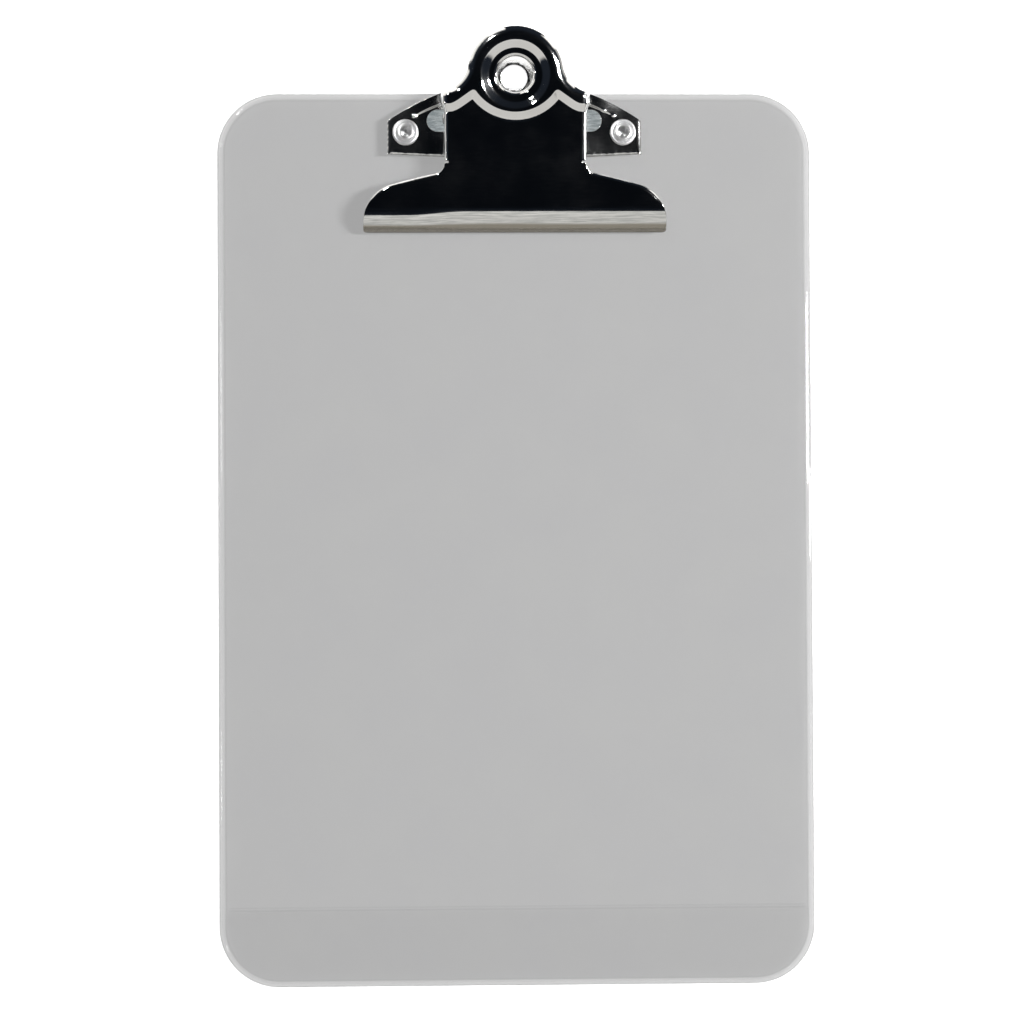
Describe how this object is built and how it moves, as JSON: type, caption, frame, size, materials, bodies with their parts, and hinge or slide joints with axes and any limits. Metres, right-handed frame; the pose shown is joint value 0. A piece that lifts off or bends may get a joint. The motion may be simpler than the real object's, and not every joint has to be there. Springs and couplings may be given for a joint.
{
  "type": "clipboard",
  "caption": "Memo-size clipboard: a smoke-grey board with rounded corners and a sprung steel lever clip with a round finger grip, opened by pressing the grip.",
  "frame": {"origin": "centre of the board's flat back face", "axes": "+Z out of the writing face, +Y from the lower edge towards the clip, +X to the right as one reads the paper"},
  "size_m": [0.1524, 0.244, 0.0173],
  "materials": {
    "smoke_plastic": "smooth, translucent smoke grey",
    "base_steel": "bright nickel-plated sheet steel",
    "lever_steel": "bright nickel-plated sheet steel with fine scratches",
    "pin_steel": "drawn steel wire",
    "spring_steel": "oiled spring wire",
    "rivet_steel": "bright, slightly satin",
    "washer_steel": "bright, slightly satin"
  },
  "bodies": {
    "board_and_base": {"board": "smoke_plastic", "clip_base": "base_steel", "torsion_spring": "spring_steel", "rivet_left": "rivet_steel", "rivet_right": "rivet_steel", "rivet_washer_left": "washer_steel", "rivet_washer_right": "washer_steel"},
    "lever": {"clip_lever": "lever_steel", "hinge_pin": "pin_steel"}
  },
  "joints": [
    {"name": "lever", "type": "hinge", "parent": "board_and_base", "child": "lever", "pos_m": [0, 0.1071, 0.0076], "axis": [-1, 0, 0], "range_deg": [0, 28], "stiffness_Nm_per_rad": 0.25, "springref_deg": -68.75, "deforming": ["torsion_spring"]}
  ]
}
